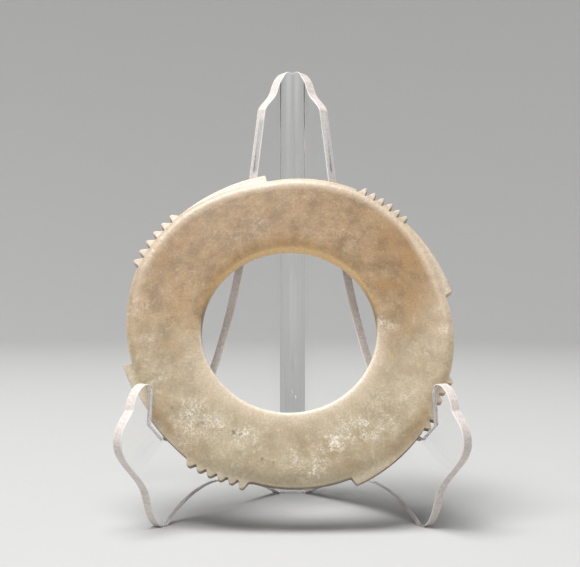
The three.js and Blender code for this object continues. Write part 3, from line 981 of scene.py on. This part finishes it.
def sweep_mesh(look):
    """A round floor that curves up into a plain wall, open at the top."""
    profile = [(look.floor_radius * part / SWEEP_STEPS, 0.0) for part in range(1, SWEEP_STEPS + 1)]
    for part in range(1, SWEEP_STEPS + 1):
        angle = math.pi / 2 * part / SWEEP_STEPS
        rise = look.sweep_radius * (1 - math.cos(angle))
        profile.append((look.floor_radius + look.sweep_radius * math.sin(angle), rise))
    profile.append((profile[-1][0], look.wall_height))
    places = [(0.0, 0.0, 0.0)]
    for radius, height in profile:
        for part in range(SWEEP_SIDES):
            across, along = turned(360 * part / SWEEP_SIDES) * radius
            places.append((across, along, height))
    faces = [(0, 1 + i, 1 + (i + 1) % SWEEP_SIDES) for i in range(SWEEP_SIDES)]
    for ring in range(len(profile) - 1):
        near = 1 + ring * SWEEP_SIDES
        faces.extend(band(near + SWEEP_SIDES, near, SWEEP_SIDES))
    mesh = bpy.data.meshes.new("floor")
    mesh.from_pydata(places, [], faces)
    mesh.shade_smooth()
    mesh.update()
    return mesh


def show(mesh, name, materials):
    """Puts a mesh in the scene with its materials."""
    piece = bpy.data.objects.new(name, mesh)
    bpy.context.scene.collection.objects.link(piece)
    for material in materials:
        mesh.materials.append(material)
    bpy.context.view_layer.update()
    return piece


def box_of(piece):
    """Lowest and highest corner of an object, in the scene."""
    corners = np.array([piece.matrix_world @ v.co for v in piece.data.vertices])
    return Vector(corners.min(0)), Vector(corners.max(0))


def settle(piece, node):
    """Moves a piece so that the middle of its box is that of the solid it stands for."""
    low, high = box_of(piece)
    node_low, node_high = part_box(node)
    piece.location += (node_low + node_high - low - high) / 2
    bpy.context.view_layer.update()


class DISC_OT_jade(bpy.types.Operator):
    """Builds the jade disc with its horns, teeth, worn edges and stains"""

    bl_idname = "jade_disc.stone"
    bl_label = "Jade disc"

    def execute(self, context):
        sizes = context.scene.jade_disc
        rings, body = disc_rings(sizes)
        mesh = ring_mesh("jade_disc", rings)
        work_surface(mesh, sizes)
        mark_disc(mesh, sizes, body)
        piece = show(mesh, "jade_disc_stone", [jade_material(sizes)])
        piece.rotation_euler.x = -sizes.lean
        bpy.context.view_layer.update()
        settle(piece, "jade_disc")
        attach(piece, "root")
        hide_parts("jade_disc")
        return {"FINISHED"}


class DISC_OT_easel(bpy.types.Operator):
    """Builds the clear easel with its fold, polished faces and frosted cut edges"""

    bl_idname = "jade_disc.easel"
    bl_label = "Clear easel"

    def execute(self, context):
        easel = context.scene.clear_easel
        mesh = easel_mesh(easel)
        piece = show(mesh, "acrylic_easel_sheet", [clear_material(easel), frost_material(easel)])
        settle(piece, "acrylic_easel")
        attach(piece, "root")
        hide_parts("acrylic_easel")
        return {"FINISHED"}


class DISC_OT_stage(bpy.types.Operator):
    """Lays the pale floor, sets soft lights and places the camera"""

    bl_idname = "jade_disc.stage"
    bl_label = "Stage"

    def execute(self, context):
        look = context.scene.disc_stage
        show(sweep_mesh(look), "floor", [floor_material(look)])
        set_world(context.scene)
        for light in LIGHTS:
            add_light(*light)
        add_camera(context.scene, look)
        return {"FINISHED"}


def set_world(scene):
    """Even pale surroundings."""
    world = bpy.data.worlds.new("studio")
    world.use_nodes = True
    background = world.node_tree.nodes["Background"]
    background.inputs["Color"].default_value = SURROUNDINGS
    background.inputs["Strength"].default_value = SURROUNDINGS_STRENGTH
    scene.world = world
    scene.view_settings.view_transform = "Standard"


def add_light(name, place, size, power):
    """A soft square light that looks at the piece."""
    light = bpy.data.lights.new(name, "AREA")
    light.size = size
    light.energy = power
    lamp = bpy.data.objects.new(name, light)
    lamp.location = place
    lamp.rotation_euler = (Vector(LIT_POINT) - Vector(place)).to_track_quat("-Z", "Y").to_euler()
    bpy.context.scene.collection.objects.link(lamp)


def add_camera(scene, look):
    """A level camera at the height and distance of the photograph's."""
    camera = bpy.data.cameras.new("camera")
    camera.lens = look.focal_length
    camera.sensor_width = SENSOR_WIDTH
    camera.shift_x = -LEFT_OF_MIDDLE / PHOTO_WIDTH
    camera.shift_y = BELOW_MIDDLE / PHOTO_WIDTH
    camera.clip_start = NEAREST
    viewer = bpy.data.objects.new("camera", camera)
    viewer.location = (0, -look.eye_distance, look.eye_height)
    viewer.rotation_euler = (math.pi / 2, 0, 0)
    scene.collection.objects.link(viewer)
    scene.camera = viewer


class DISC_PT_panel(bpy.types.Panel):
    """Lists the pieces and their sizes"""

    bl_label = "Jade disc"
    bl_space_type = "VIEW_3D"
    bl_region_type = "UI"
    bl_category = "Jade disc"

    def draw(self, context):
        groups = (
            (DISC_OT_jade, context.scene.jade_disc),
            (DISC_OT_easel, context.scene.clear_easel),
            (DISC_OT_stage, context.scene.disc_stage),
        )
        for operator, settings in groups:
            box = self.layout.box()
            box.operator(operator.bl_idname)
            for name in settings.__annotations__:
                box.prop(settings, name)


CLASSES = (
    JadeDiscSettings,
    ClearEaselSettings,
    StageSettings,
    DISC_OT_jade,
    DISC_OT_easel,
    DISC_OT_stage,
    DISC_PT_panel,
)


def register():
    for one in CLASSES:
        bpy.utils.register_class(one)
    bpy.types.Scene.jade_disc = PointerProperty(type=JadeDiscSettings)
    bpy.types.Scene.clear_easel = PointerProperty(type=ClearEaselSettings)
    bpy.types.Scene.disc_stage = PointerProperty(type=StageSettings)


def unregister():
    del bpy.types.Scene.disc_stage
    del bpy.types.Scene.clear_easel
    del bpy.types.Scene.jade_disc
    for one in reversed(CLASSES):
        bpy.utils.unregister_class(one)


def main():
    """Builds every piece."""
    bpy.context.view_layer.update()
    register()
    bpy.ops.jade_disc.stone()
    bpy.ops.jade_disc.easel()
    bpy.ops.jade_disc.stage()


if __name__ == "__main__":
    main()
